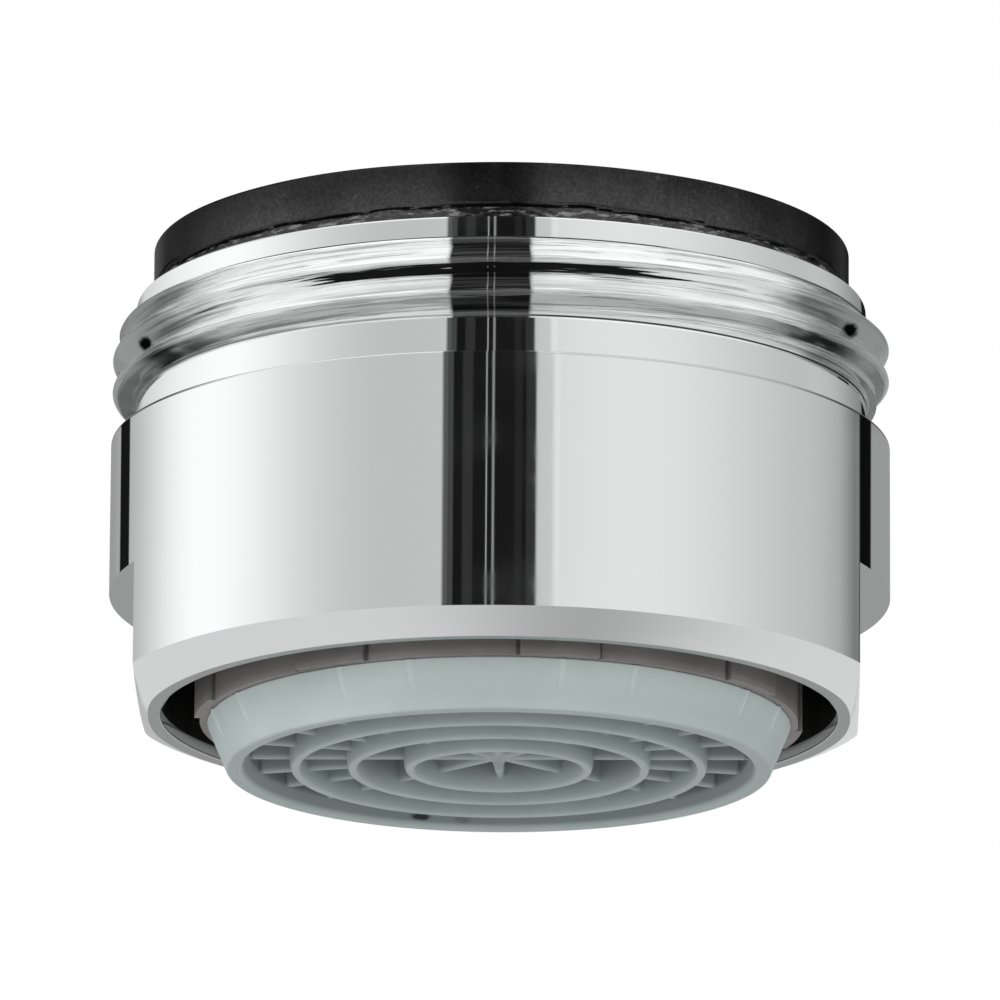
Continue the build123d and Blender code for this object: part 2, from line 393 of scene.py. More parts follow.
def threadWithPaintedReflections(firstCrest, pitch):
    # the flank under each crest has painted dark reflection, most in front and at the ends, and fine streaks follow
    # the ridge
    look = threadLook
    material, tree, shader, place = newMaterial("threadWithPaintedReflections", {"Specular IOR Level": 0.0})
    by = ramps(tree, look)
    fine, torn, broad = (useGroup(tree, threadPlace, {
        "Place": place, "First Crest": firstCrest, "Pitch": pitch, "Along": along, "Across": across,
    }) for along, across in look["streaks"])
    lines = noise(tree, fine["Streak"], *look["lines"])
    shreds = noise(tree, torn["Streak"], *look["shreds"])
    patches = noise(tree, broad["Streak"], *look["patches"])
    parts = axes(tree, place)
    height = inMm(tree, parts["Z"])
    bearing, ridge = fine["Bearing"], fine["Ridge"]
    away = apart(tree, bearing, look["middle"])
    wander = shaken(tree, lines, look["wander"])
    phase = plus(tree, fine["Phase"], wander)

    # painted dark reflection in front, broken by painted highlights along crests and near both ends and by two
    # painted upright glint lines
    paintedDarkReflection = by(away, "paintedDarkReflection")
    for line in look["glints"]:
        paintedDarkReflection = times(tree, paintedDarkReflection, by(apart(tree, bearing, line), "glint"))
    crest = by(apart(tree, phase, look["crest"]), "crestHighlight")
    for rim in look["rims"]:
        fromRim = apart(tree, plus(tree, height, wander), rim)
        crest = calc(tree, "MINIMUM", crest, by(fromRim, "rimHighlight"))
    paintedDarkReflection = times(tree, paintedDarkReflection, crest, by(shreds, "darkReflectionShreds"))

    # painted dark reflection in the gaps under the ridges: the upper gap is black beside the dark front and breaks up
    # into shreds, the lower one is darkest at the ends
    under = times(tree, by(phase, "gapTop"), by(phase, "gapFoot"))
    black = by(minus(tree, shreds, by(away, "limit")), "black")
    higher = most(tree, black, by(away, "greyGap"))
    lower = plus(tree, by(away, "lowGap"), by(away, "lowGapEnds"))
    lower = times(tree, lower, by(patches, "lowGapPatches"))
    onHigher = by(ridge, "higherRidge")
    amount = plus(tree, lower, times(tree, onHigher, minus(tree, higher, lower)))
    gaps = times(tree, under, amount, by(ridge, "lastRidge"))
    scored = times(tree, by(apart(tree, phase, look["score"]), "scoreLine"), onHigher, by(patches, "scorePatches"))

    # dark lines along both ends of the thread, broken here and there
    foot, top = look["edges"]
    topLine = times(tree, ramp(tree, height, top, top + look["edgeSoft"]), by(shreds, "topBreaks"))
    footLine = times(tree, by(apart(tree, height, foot), "footLine"), by(bearing, "footSides"))
    paintedDarkAndMarks = most(tree, gaps, paintedDarkReflection, scored, topLine, footLine)

    # two pits, round as seen from the front
    seen = minus(tree, height, times(tree, inMm(tree, parts["Y"]), look["sightSlope"]))
    inner, outer = look["spotEdge"]
    for side, up, size in look["spots"]:
        aside = minus(tree, inMm(tree, parts["X"]), side)
        upward = minus(tree, seen, up)
        square = plus(tree, times(tree, aside, aside), times(tree, upward, upward))
        ragged = shaken(tree, noise(tree, place, look["spotNoise"]), look["spotRagged"])
        gap = plus(tree, calc(tree, "SQRT", square), ragged)
        pit = times(tree, ramp(tree, gap, inner * size, outer * size, 1.0, 0.0), ramp(tree, parts["Y"], 0.0, -mm))
        paintedDarkAndMarks = most(tree, paintedDarkAndMarks, pit)

    # toward both sides, by bearing from the front, the bright streaked metal gives way to a duller grey
    ends = by(plus(tree, away, shaken(tree, patches, look["loose"])), "ends")
    streak = most(tree, by(lines, "fineStreak"), by(shreds, "tornStreak"))
    tone = blend(tree, times(tree, streak, by(phase, "upperFlank")), look["bright"], look["rubbed"])
    nick = times(tree, by(lines, "nick"), by(patches, "nickPatches"), minus(tree, 1.0, ends))
    fade = by(away, "fade")
    mixed = times(tree, minus(tree, plus(tree, lines, shreds), 1.0), fade)
    sideTone = blend(tree, by(mixed, "sideToneMix"), look["dullPale"], look["dull"])
    tips = times(tree, by(away, "tipEnds"), by(height, "tipHeight"))
    tone = blend(tree, ends, tone, blend(tree, tips, sideTone, look["tipTone"]))
    # painted dark reflection, marks and nicks turn the colour near black and the metal less metallic
    paintedDarkMarksAndNicks = most(tree, paintedDarkAndMarks, nick)
    feed(tree, shader, {
        "Base Color": blend(tree, paintedDarkMarksAndNicks, tone, look["paintedDarkAndNickTone"]),
        "Metallic": by(paintedDarkMarksAndNicks, "metallic"),
        "Roughness": by(patches, "roughness"),
    })
    bumpInto(tree, shader, times(tree, lines, fade), *look["bump"])
    return material


edgeLook = {"marks": {"Pitch": 20000.0, "Along": 4.0}, "roughness": (0.3, 0.7, 0.28, 0.42), "bump": (0.1, 0.00003)}


def turnedEdge(name, colour, metallic):
    material, tree, shader, place = newMaterial(name, {"Metallic": metallic, "Base Color": colour})
    marks = useGroup(tree, turningMarks, {"Place": place, **edgeLook["marks"]})
    feed(tree, shader, {"Roughness": ramp(tree, marks["Height"], *edgeLook["roughness"])})
    bumpInto(tree, shader, marks["Height"], *edgeLook["bump"])
    return material


boreLook = {
    "plain": {"Metallic": 0.6, "Roughness": 0.55}, "noise": (700.0, 4.0, 0.6),
    # near-black tones: painted shade of the deep bore
    "dark": (0.012, 0.012, 0.012, 1), "paler": (0.035, 0.033, 0.03, 1),
}


def shadedBore():
    # inside, the plating stops a little above the mouth and the metal is dull; its near-black colour is painted shade
    # of the deep bore
    material, tree, shader, place = newMaterial("shadedBore", boreLook["plain"])
    tone = blend(tree, noise(tree, place, *boreLook["noise"]), boreLook["dark"], boreLook["paler"])
    feed(tree, shader, {"Base Color": tone})
    return material


rubberLook = {
    "colour": (0.0008, 0.0008, 0.0009, 1), "chalky": (0.003, 0.003, 0.003, 1), "dust": (0.14, 0.14, 0.137, 1),
    "plain": {"Roughness": 0.21, "Specular IOR Level": 0.012, "Coat Roughness": 0.21, "Coat IOR": 1.62},
    "grain": 9500.0, "dustAmount": 0.2, "bump": (0.12, 0.00003),
    "marks": {"Pitch": 9000.0, "Along": 22.0}, "flecks": (0.50, 0.66, 0.0, 0.9),
    "cloudNoise": (330.0, 5.0, 0.65), "cloud": (0.3, 0.72),
    "belowLine": (-0.02, -0.10), "heightSheen": (0.0, 1.35, 1.2, 0.6),  # by height from the ragged line
    "facingSheen": (0.02, 0.72, 0.95, 0.01), "cloudSheen": (0.0, 1.0, 0.8, 1.2),
    "grainSheen": (0.35, 0.65, 0.78, 1.22),
}


def rubberBlack(footLine):
    # pale flecks gather below the ragged line, and the rest is cloudy black with a few specks
    look = rubberLook
    material, tree, shader, place = newMaterial("rubberBlack", look["plain"])
    by = ramps(tree, look)
    grain = useGroup(tree, mouldGrain, {"Place": place, "Scale": look["grain"]})
    dust = useGroup(tree, settledDust, {"Place": place, "Amount": look["dustAmount"]})
    marks = useGroup(tree, turningMarks, {"Place": place, **look["marks"]})
    facing = tree.nodes.new("ShaderNodeLayerWeight").outputs["Facing"]
    fromLine = minus(tree, inMm(tree, axes(tree, place)["Z"]), footLine)
    flecked = times(tree, by(fromLine, "belowLine"), by(marks["Height"], "flecks"))
    cloud = by(noise(tree, place, *look["cloudNoise"]), "cloud")
    tone = blend(tree, cloud, look["colour"], look["chalky"])
    pale = most(tree, dust["Mask"], flecked)
    feed(tree, shader, {
        "Base Color": blend(tree, pale, tone, look["dust"]),
        "Coat Weight": times(tree, by(facing, "facingSheen"), by(cloud, "cloudSheen"), by(fromLine, "heightSheen"),
                             by(grain["Height"], "grainSheen")),
    })
    bumpInto(tree, shader, grain["Height"], *look["bump"])
    return material


mouldLook = {"specular": 0.4, "grain": 7600.0, "paler": 1.35, "bump": (0.2, 0.00004)}


def mouldedPlastic(name, colour, deeper, roughness, dustAmount):
    look = mouldLook
    plain = {"Roughness": roughness, "Specular IOR Level": look["specular"]}
    material, tree, shader, place = newMaterial(name, plain)
    grain = useGroup(tree, mouldGrain, {"Place": place, "Scale": look["grain"]})
    dust = useGroup(tree, settledDust, {"Place": place, "Amount": dustAmount})
    paler = tuple(min(1.0, c * look["paler"]) for c in colour[:3]) + (1,)
    tone = blend(tree, dust["Mask"], blend(tree, grain["Tone"], colour, deeper), paler)
    feed(tree, shader, {"Base Color": tone})
    bumpInto(tree, shader, grain["Height"], *look["bump"])
    return material, tree, shader, place, tone


outletLook = {
    "plastic": ((0.57, 0.655, 0.635, 1), (0.53, 0.615, 0.595, 1), 0.48, 0.06),  # colour, deeper, roughness, dust
    # tones of the ribs, of painted shade in the cells and on the lower skirt, and of the stains
    "ribTone": (0.68, 0.76, 0.74, 1), "cellShadeTone": (0.14, 0.18, 0.17, 1), "skirtShadeTone": (0.28, 0.335, 0.32, 1),
    "stainTone": (0.01, 0.016, 0.014, 1),
    "shadeInCells": (0.0, -0.08), "slope": (0.0, -0.06),  # by radius from the rim's bore
    "cellHeight": (0.06, 1.1), "cellShade": 0.48, "slopeFoot": (7.45, 7.55), "slopeHeight": (0.06, 0.20, 0.0, 0.62),
    "ribSkirt": (-0.05, 0.0), "skirtShadeSkirt": (-0.1, 0.0, 0.0, 0.38),  # by radius from the rim
    "rib": (0.25, 0.75, 0.5, 0.0), "ribHeight": (0.5, 0.9), "skirtShadeHeight": (1.35, 0.35), "skirtShadeSide": (-6.0, -1.0),
    "stainStretch": (0.8, 9.0), "stainNoise": 4200.0, "stainRagged": 0.9, "stainEdge": (0.45, 1.05),
}


def gratedPlastic(size):
    # the outlet's plastic has painted shade inside its cells and is paler along the ribs of the skirt
    look = outletLook
    material, tree, shader, place, tone = mouldedPlastic("outletPlastic", *look["plastic"])
    by = ramps(tree, look)
    where = useGroup(tree, ringPlace, {"Place": place, "Turn": size["ribTurn"], "Sector": size["ribSector"]})
    radius, height = where["Radius"], where["Height"]
    fromBore = minus(tree, radius, size["rimBore"])
    fromRim = minus(tree, radius, size["rim"])
    fromRib = apart(tree, where["Off Middle"], size["ribApart"] / 2)
    rib = times(tree, by(fromRib, "rib"), by(height, "ribHeight"), by(fromRim, "ribSkirt"))
    tone = blend(tree, rib, tone, look["ribTone"])
    shadeInCells = times(tree, by(fromBore, "shadeInCells"), by(height, "cellHeight"), look["cellShade"])
    # painted shade on the inner slope just inside the rim's bore
    slope = times(tree, by(fromBore, "slope"), by(radius, "slopeFoot"), by(height, "slopeHeight"))
    tone = blend(tree, most(tree, shadeInCells, slope), tone, look["cellShadeTone"])
    # painted shade makes the lower skirt darker from the middle to the right, and two small stains lie on the far
    # slope
    side = inMm(tree, axes(tree, place)["X"])
    dull = times(tree, by(height, "skirtShadeHeight"), by(side, "skirtShadeSide"), by(fromRim, "skirtShadeSkirt"))
    tone = blend(tree, dull, tone, look["skirtShadeTone"])
    ragged = shaken(tree, noise(tree, place, look["stainNoise"]), look["stainRagged"] * mm)
    inner, outer = (edge * mm for edge in look["stainEdge"])
    for centre, width, strength in size["stains"]:
        off = place
        for operation, other in (("SUBTRACT", tuple(c * mm for c in centre)),
                                 ("MULTIPLY", (1 / width, *look["stainStretch"]))):
            off = addNode(tree, "ShaderNodeVectorMath", {0: off, 1: other}, operation=operation).outputs[0]
        reach = addNode(tree, "ShaderNodeVectorMath", {0: off}, operation="LENGTH").outputs["Value"]
        darkMark = ramp(tree, plus(tree, reach, ragged), inner, outer, strength, 0.0)
        tone = blend(tree, darkMark, tone, look["stainTone"])
    feed(tree, shader, {"Base Color": tone})
    return material


casingLook = {
    # the corner tone is painted shadow beside the tabs
    "plastic": ((0.36, 0.33, 0.33, 1), (0.28, 0.255, 0.255, 1), 0.5, 0.5), "tabShadowTone": (0.04, 0.035, 0.035, 1),
    "tabTurn": 12.5, "tabSector": 45.0, "tabHalf": 7.9,  # degrees
    "corner": (0.2, 0.6, 0.65, 0.0), "wallInner": (9.05, 9.12), "wallOuter": (9.25, 9.2),
}


def tabbedPlastic():
    # the casing's plastic has painted shadow in the corners beside its tabs
    look = casingLook
    material, tree, shader, place, tone = mouldedPlastic("casingPlastic", *look["plastic"])
    by = ramps(tree, look)
    where = useGroup(tree, ringPlace, {"Place": place, "Turn": look["tabTurn"], "Sector": look["tabSector"]})
    beside = apart(tree, where["Off Middle"], look["tabHalf"])
    corner = times(tree, by(beside, "corner"), by(where["Radius"], "wallInner"), by(where["Radius"], "wallOuter"))
    feed(tree, shader, {"Base Color": blend(tree, corner, tone, look["tabShadowTone"])})
    return material


edgeMetal = turnedEdge("turnedEdge", (0.56, 0.57, 0.57, 1), 1.0)
boreEdge = turnedEdge("boreEdge", (0.9, 0.9, 0.895, 1), 0.0)
boreMetal = shadedBore()
casingPlastic = tabbedPlastic()
screenPlastic = mouldedPlastic("screenPlastic", (0.42, 0.48, 0.465, 1), (0.38, 0.44, 0.425, 1), 0.5, 0.3)[0]
mixerPlastic = mouldedPlastic("mixerPlastic", (0.20, 0.22, 0.215, 1), (0.17, 0.19, 0.185, 1), 0.55, 0.2)[0]
print("finishes made:", len(bpy.data.materials))


def settle(piece, node, slot, *materials):
    for material in materials:
        piece.data.materials.append(material)
    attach(piece, "root")
    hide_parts(node)
    print(piece.name, "made:", len(piece.data.polygons), "faces")


# Housing: a turned profile, two wrench flats and a right-hand thread

housingSize = {
    "bore": 10.36, "mouth": 1.66, "lip": 10.79, "body": 11.97, "chamferTop": 2.31,
    "chamferMid": (11.42, 1.90), "flat": 11.0, "flatEase": 0.55, "ledge": 5.45, "shoulder": 10.15,
    "neck": 11.30, "neckTop": 11.245, "collar": 11.26, "collarTop": 11.23, "top": 14.52,
    "seatBore": 10.8, "seat": 12.6, "plating": 2.05, "edgeWidth": 0.03, "near": 0.01,
    "flatColumns": 52, "roundColumns": 158,
}
threadSize = {
    "low": 11.60, "high": 13.88, "crest": 11.945, "root": 11.40, "pitch": 1.0, "firstCrest": 11.30,
    "lead": 0.33, "sharpness": 0.985, "easeDepth": 0.01, "easeReach": 0.04, "cove": 0.24, "coveRise": 0.07,
    "neckGap": 0.30, "collarGap": 0.04, "start": (-0.005, 0.035), "coveRows": 12, "startRows": 6, "rows": 110,
}
chrome = chromePlate(housingSize["shoulder"])
threadMetal = threadWithPaintedReflections(threadSize["firstCrest"], threadSize["pitch"])


def threadRadius(angle, height):
    # a right-hand ridge, in section a triangle wave with its corners eased; above, it is held under
    # a cone that leads in to the collar, and below it ends bluntly over a small cove of the neck
    s = threadSize
    turns = (height - s["firstCrest"]) / s["pitch"] - angle / (2 * np.pi)
    wave = np.arcsin(s["sharpness"] * np.cos(2 * np.pi * turns)) / np.arcsin(s["sharpness"])
    ridge = s["root"] + (s["crest"] - s["root"]) * (1 + wave) / 2
    lead = housingSize["collar"] + (s["crest"] - housingSize["collar"]) * (s["high"] - height) / s["lead"]
    softer = s["easeDepth"] * np.clip(1 - np.abs(lead - ridge) / s["easeReach"], 0, 1) ** 2
    start = smooth(s["low"] + s["start"][0], s["low"] + s["start"][1], height)
    ridge = np.minimum(ridge, lead) - softer
    cove = s["coveRise"] * np.clip((height - s["low"] + s["cove"]) / s["cove"], 0, 1) ** 2
    base = housingSize["neckTop"] + cove
    return base + (ridge - base) * start


def makeHousing():
    s = housingSize
    outer = roundedProfile([
        (s["bore"], s["mouth"], 0.05, 4),
        (s["lip"], s["mouth"], 0.08, 5),
        (*s["chamferMid"], 2.0, 6),
        (s["body"], s["chamferTop"], 0.03, 4),
        (s["body"], s["shoulder"], 0.05, 8),
        (s["neck"], s["shoulder"], 0.06, 4),
        (s["neckTop"], threadSize["low"] - threadSize["neckGap"], 0.01, 2),
        (s["collar"], threadSize["high"] + threadSize["collarGap"], 0.01, 2),
        (s["collarTop"], s["top"], 0.06, 6),
        (s["seatBore"], s["top"], 0.04, 4),
        (s["seatBore"], s["seat"], 0.05, 2),
        (s["bore"], s["seat"], 0.03, 2),
    ])
    low, high = threadSize["low"], threadSize["high"]
    split = np.argmax(outer[:, 1] > high)
    cove = low - threadSize["cove"] * np.linspace(1, 0.05, threadSize["coveRows"])
    begin = low + np.linspace(-0.01, 0.04, threadSize["startRows"])
    climb = np.concatenate((cove, begin, np.linspace(low + 0.05, high, threadSize["rows"])))
    ledgeRow = np.argmax(outer[:, 1] > s["ledge"])
    bore = np.array([[s["bore"], s["plating"]]])
    lower, upper, inner = outer[:ledgeRow], outer[ledgeRow:split], np.vstack((outer[split:], bore))
    ledge = np.array([[s["body"], s["ledge"]], [s["body"], s["ledge"]]])
    turned = np.vstack((lower, ledge, upper, np.stack((0 * climb + s["neck"], climb), -1), inner))
    isFlat = np.arange(len(turned)) <= len(lower)
    isThread = np.zeros(len(turned), bool)
    threadStart = len(lower) + 2 + len(upper)
    isThread[threadStart:threadStart + len(climb)] = True

    # the flats' corner sits where the round meets the flat, so a column follows it on every row
    reach = np.where(isFlat, turned[:, 0], s["body"])
    corner = np.arccos(np.clip(s["flat"] / np.maximum(reach, s["flat"] + 0.04), 0, 1))[:, None]
    onFlat = np.linspace(-1, 1, s["flatColumns"], endpoint=False)[None, :]
    onRound = np.linspace(0, 1, s["roundColumns"], endpoint=False)[None, :]
    side = np.hstack((corner * onFlat, corner + (np.pi - 2 * corner) * onRound))
    angle = np.hstack((side, side + np.pi))
    radius = np.broadcast_to(turned[:, :1], angle.shape).copy()
    height = np.broadcast_to(turned[:, 1:], angle.shape).copy()
    # near the mouth the flat's edge is polished over: the smaller radius wins, and the rounding fades out upwards
    cut = s["flat"] / np.maximum(np.abs(np.cos(angle)), 0.5)
    ease = s["flatEase"] * smooth(s["chamferTop"] - 0.05, s["mouth"] + 0.1, height) + 1e-4
    over = np.clip(1 - np.abs(radius - cut) / ease, 0, 1)
    radius[isFlat] = (np.minimum(radius, cut) - over ** 2 * ease / 4)[isFlat]
    radius[isThread] = threadRadius(angle, height)[isThread]
    grid = np.stack((radius * np.cos(angle), radius * np.sin(angle), height), -1)
    part = isThread.astype(int)
    part[threadStart + len(climb) - 1] = 0  # the collar above the last row is plain
    part[(turned[:, 0] < s["lip"] - s["edgeWidth"]) & (turned[:, 1] < s["plating"] + s["near"])] = 2
    part[(turned[:, 0] < s["bore"] + s["near"]) & (turned[:, 1] > s["plating"] + s["near"])] = 3
    part[-1] = 4  # the plated band between the dark bore and the lip
    piece = meshFromGrids("housingChrome", [(grid, True, True, part)])
    settle(piece, "housing", "housing", chrome, threadMetal, edgeMetal, boreMetal, boreEdge)


makeHousing()


# Sealing washer: a rubber ring with a slightly uneven upper edge and a ragged line near its foot

washerSize = {
    "outer": 10.74, "inner": 8.4, "foot": 14.0, "top": 16.37, "edge": 0.09, "line": 14.98, "inset": 0.02,
    "groove": 0.10, "grooveWidth": 0.05, "ripple": 0.09, "ragged": 0.02, "swell": 0.015,
    "topRipple": 0.012, "topInset": 0.014, "sideRows": 46, "columns": 360,
}
rubber = rubberBlack(washerSize["line"])


def makeWasher():
    s = washerSize
    base = roundedProfile([
        (s["inner"], s["foot"], 0.05, 2),
        (s["outer"], s["foot"], 0.05, 2),
        (s["outer"], s["top"], s["edge"], 8),
        (s["inner"], s["top"], 0.12, 5),
    ])
    sideRows = np.linspace(s["foot"] + 0.12, s["top"] - s["edge"] - 0.06, s["sideRows"])
    sideLine = np.stack((0 * sideRows + s["outer"], sideRows), -1)
    low = np.argmax((base[:, 0] > s["outer"] - 0.01) & (base[:, 1] > s["foot"] + 0.06))
    profile = np.vstack((base[:low + 1], sideLine, base[low + 1:]))
    angle = fullTurn(s["columns"])
    grid = lathe(profile, angle)
    radius, height = np.hypot(grid[..., 0], grid[..., 1]), grid[..., 2]
    isSide = smooth(s["outer"] - 0.3, s["outer"] - 0.02, radius)
    wander = s["line"] + waves(angle, 4, (3, 5, 8, 13, 21, 34), s["ripple"])
    groove = -s["groove"] * np.exp(-((height - wander) / s["grooveWidth"]) ** 2)
    # below the line, short uneven waves: a sine of the angle, itself bent by a slower sine and by the height
    rough = np.sin(61 * angle + 9 * np.sin(5 * angle) + 30 * height)
    ragged = s["ragged"] * smooth(0.06, -0.1, height - wander) * rough
    swell = waves(angle, 7, (2, 3, 5, 9), s["swell"])
    change = isSide * (groove + ragged + swell - s["inset"])
    grid[..., 0] += change * np.cos(angle)
    grid[..., 1] += change * np.sin(angle)
    uneven = waves(angle, 9, (2, 3, 7, 11), s["topRipple"]) - s["topInset"]
    grid[..., 2] += smooth(s["top"] - 0.3, s["top"], height) * uneven
    piece = meshFromGrids("washerRubber", [(grid, True, True, 0)], creaseAngle=40.0)
    settle(piece, "sealing_washer", "sealing_washer", rubber)


makeWasher()


# Outlet grid: tapered skirt, three rings with drafted walls, spokes between them and a pin in the eye

outletSize = {
    "rim": 8.31, "rimBore": 7.90, "skirtTop": 8.94, "skirtHeight": 1.5,
    "spigot": 8.3, "spigotBore": 7.6, "spigotTop": 3.5, "slopeTop": 0.45,
    "rings": (2.86, 4.607, 6.353), "ringEdge": 0.29, "ringDraft": 0.07, "gridTop": 2.4,
    "spokeFoot": 0.40, "spokeWidth": 0.28, "spokeDraft": 0.09,
    "spokes": 24, "eyeSpokes": 8, "draftReach": 0.55,
    "ribRise": 0.07, "ribTurn": 21.0, "ribApart": 15.0, "ribSector": 45.0, "ribWidth": 0.6,  # turns in degrees
    "stains": (((-2.55, 7.32, 0.27), 0.4, 0.95), ((-1.25, 7.6, 0.25), 0.3, 0.3)),  # place, half width and strength
    "climbFrom": 0.2, "climbRows": 22, "footRows": 9, "skirtColumns": 720, "ringColumns": 240, "pinColumns": 48,
}
outletPlastic = gratedPlastic(outletSize)


def skirtGrid():
    s = outletSize
    profile = roundedProfile([
        (s["rim"], 0.0, 0.14, 7),
        (s["skirtTop"], s["skirtHeight"], 0.05, 3),
        (s["spigot"], s["skirtHeight"], 0.03, 2),
        (s["spigot"], s["spigotTop"], 0.08, 3),
        (s["spigotBore"], s["spigotTop"], 0.08, 3),
        (s["spigotBore"], s["slopeTop"], 0.3, 4),
        (s["rimBore"], 0.0, 0.12, 7),
    ])
    first = np.argmax(profile[:, 1] > s["climbFrom"])
    climb = np.linspace(s["climbFrom"], s["skirtHeight"] - 0.12, s["climbRows"])
    slope = s["rim"] + (s["skirtTop"] - s["rim"]) * climb / s["skirtHeight"]
    profile = np.vstack((profile[:first], np.stack((slope, climb), -1), profile[first:]))
    angle = fullTurn(s["skirtColumns"])
    grid = lathe(profile, angle)
    # narrow ribs on the skirt, in pairs, fading out downwards
    around = np.degrees(angle) - s["ribTurn"]
    sector = s["ribSector"]
    fromRib = np.abs(np.abs((around + sector / 2) % sector - sector / 2) - s["ribApart"] / 2)
    radius, height = np.hypot(grid[..., 0], grid[..., 1]), grid[..., 2]
    onSkirt = (radius > s["spigot"] + 0.02) & (height < s["skirtHeight"] - 0.03)
    rise = s["ribRise"] * np.exp(-(fromRib / s["ribWidth"]) ** 2) * smooth(0.35, 0.9, height) * onSkirt
    grid[..., 0] += rise * np.cos(angle)
    grid[..., 1] += rise * np.sin(angle)
    return grid


def ringGrid(outerRadius):
    # a closed loop of (radius, height): a rounded lower edge and walls that thicken upwards
    s = outletSize
    edge, draft, top = s["ringEdge"], s["ringDraft"], s["gridTop"]
    middle = outerRadius - edge / 2
    turn = np.linspace(-np.pi / 2, np.pi / 2, s["footRows"])
    foot = np.stack((middle + edge / 2 * np.sin(turn), edge / 2 - edge / 2 * np.cos(turn)), -1)
    climb = np.linspace(edge / 2 + 0.05, top, 8)
    swell = edge / 2 + draft * (1 - np.exp(-climb / s["draftReach"]))
    outerWall = np.stack((middle + swell, climb), -1)
    innerWall = np.stack((middle - swell, climb), -1)[::-1]
    return lathe(np.vstack((foot, outerWall, innerWall)), fullTurn(s["ringColumns"]))


def spokeGrid(start, end, turnDegrees, foot):
    # a bar with a rounded lower edge, carried along a spoke from one radius to another
    s = outletSize
    half, top = s["spokeWidth"] / 2, s["gridTop"] - 0.02
    turn = np.linspace(-np.pi / 2, np.pi / 2, s["footRows"])
    across = np.concatenate((half * np.sin(turn), [half + s["spokeDraft"], -half - s["spokeDraft"]]))
    up = np.concatenate((half * (1 - np.cos(turn)), [top - foot, top - foot]))
    along = np.linspace(start, end, 6)[:, None]
    shape = np.stack((along + 0 * across, across + 0 * along, foot + up + 0 * along), -1)
    c, n = np.cos(np.radians(turnDegrees)), np.sin(np.radians(turnDegrees))
    x, y, z = np.moveaxis(shape, -1, 0)
    turned = np.stack((c * x - n * y, n * x + c * y, z), -1)
    caps = np.repeat(turned[[0, -1]].mean(1, keepdims=True), len(across), 1)
    return np.concatenate((caps[:1], turned, caps[1:]))


def pinGrid():
    # a pin on the axis: radius shrinks from the spokes' hub to a blunt tip near the rim's plane
    height = np.array([0.0, 0.0, 0.02, 0.06, 0.16, 0.28, 0.36, 0.42, 0.50, 0.62, 0.8, 2.38, 2.38])
    radius = np.array([0.0, 0.05, 0.085, 0.105, 0.13, 0.165, 0.22, 0.34, 0.50, 0.57, 0.60, 0.62, 0.0])
    return lathe(np.stack((radius, height), -1), fullTurn(outletSize["pinColumns"]))


def makeOutlet():
    s = outletSize
    inner, second, outer = s["rings"]
    grids = [(skirtGrid(), True, True, 0), (pinGrid(), False, True, 0)]
    grids += [(ringGrid(r), True, True, 0) for r in s["rings"]]
    mid = s["ringEdge"] / 2
    outerRows = ((outer - mid, s["spigotBore"] + 0.2), (second - mid, outer - mid))
    innerRows = ((inner - mid, second - mid), (0.1, inner - mid))
    for count, spans in ((s["spokes"], outerRows), (s["eyeSpokes"], innerRows)):
        for k in range(count):
            grids += [(spokeGrid(*span, 360 / count * k, s["spokeFoot"]), False, True, 0) for span in spans]
    piece = meshFromGrids("outletGrille", grids, creaseAngle=35.0)
    settle(piece, "outlet_grid", "outlet_grid", outletPlastic)


makeOutlet()


# Pieces whose solids already have the right form keep them, and get their finish

cadFinish = {
    "insert_casing": casingPlastic, "jet_plate": casingPlastic, "filter_screen": screenPlastic,
    "upper_mixing_grid": mixerPlastic, "lower_mixing_grid": mixerPlastic,
}
for node, material in cadFinish.items():
    nodes[node].data.materials.clear()
    nodes[node].data.materials.append(material)
print("solids dressed:", len(cadFinish))


# Studio: a pale floor, soft light that is stronger in front, and panels with dark gaps for the chrome to mirror

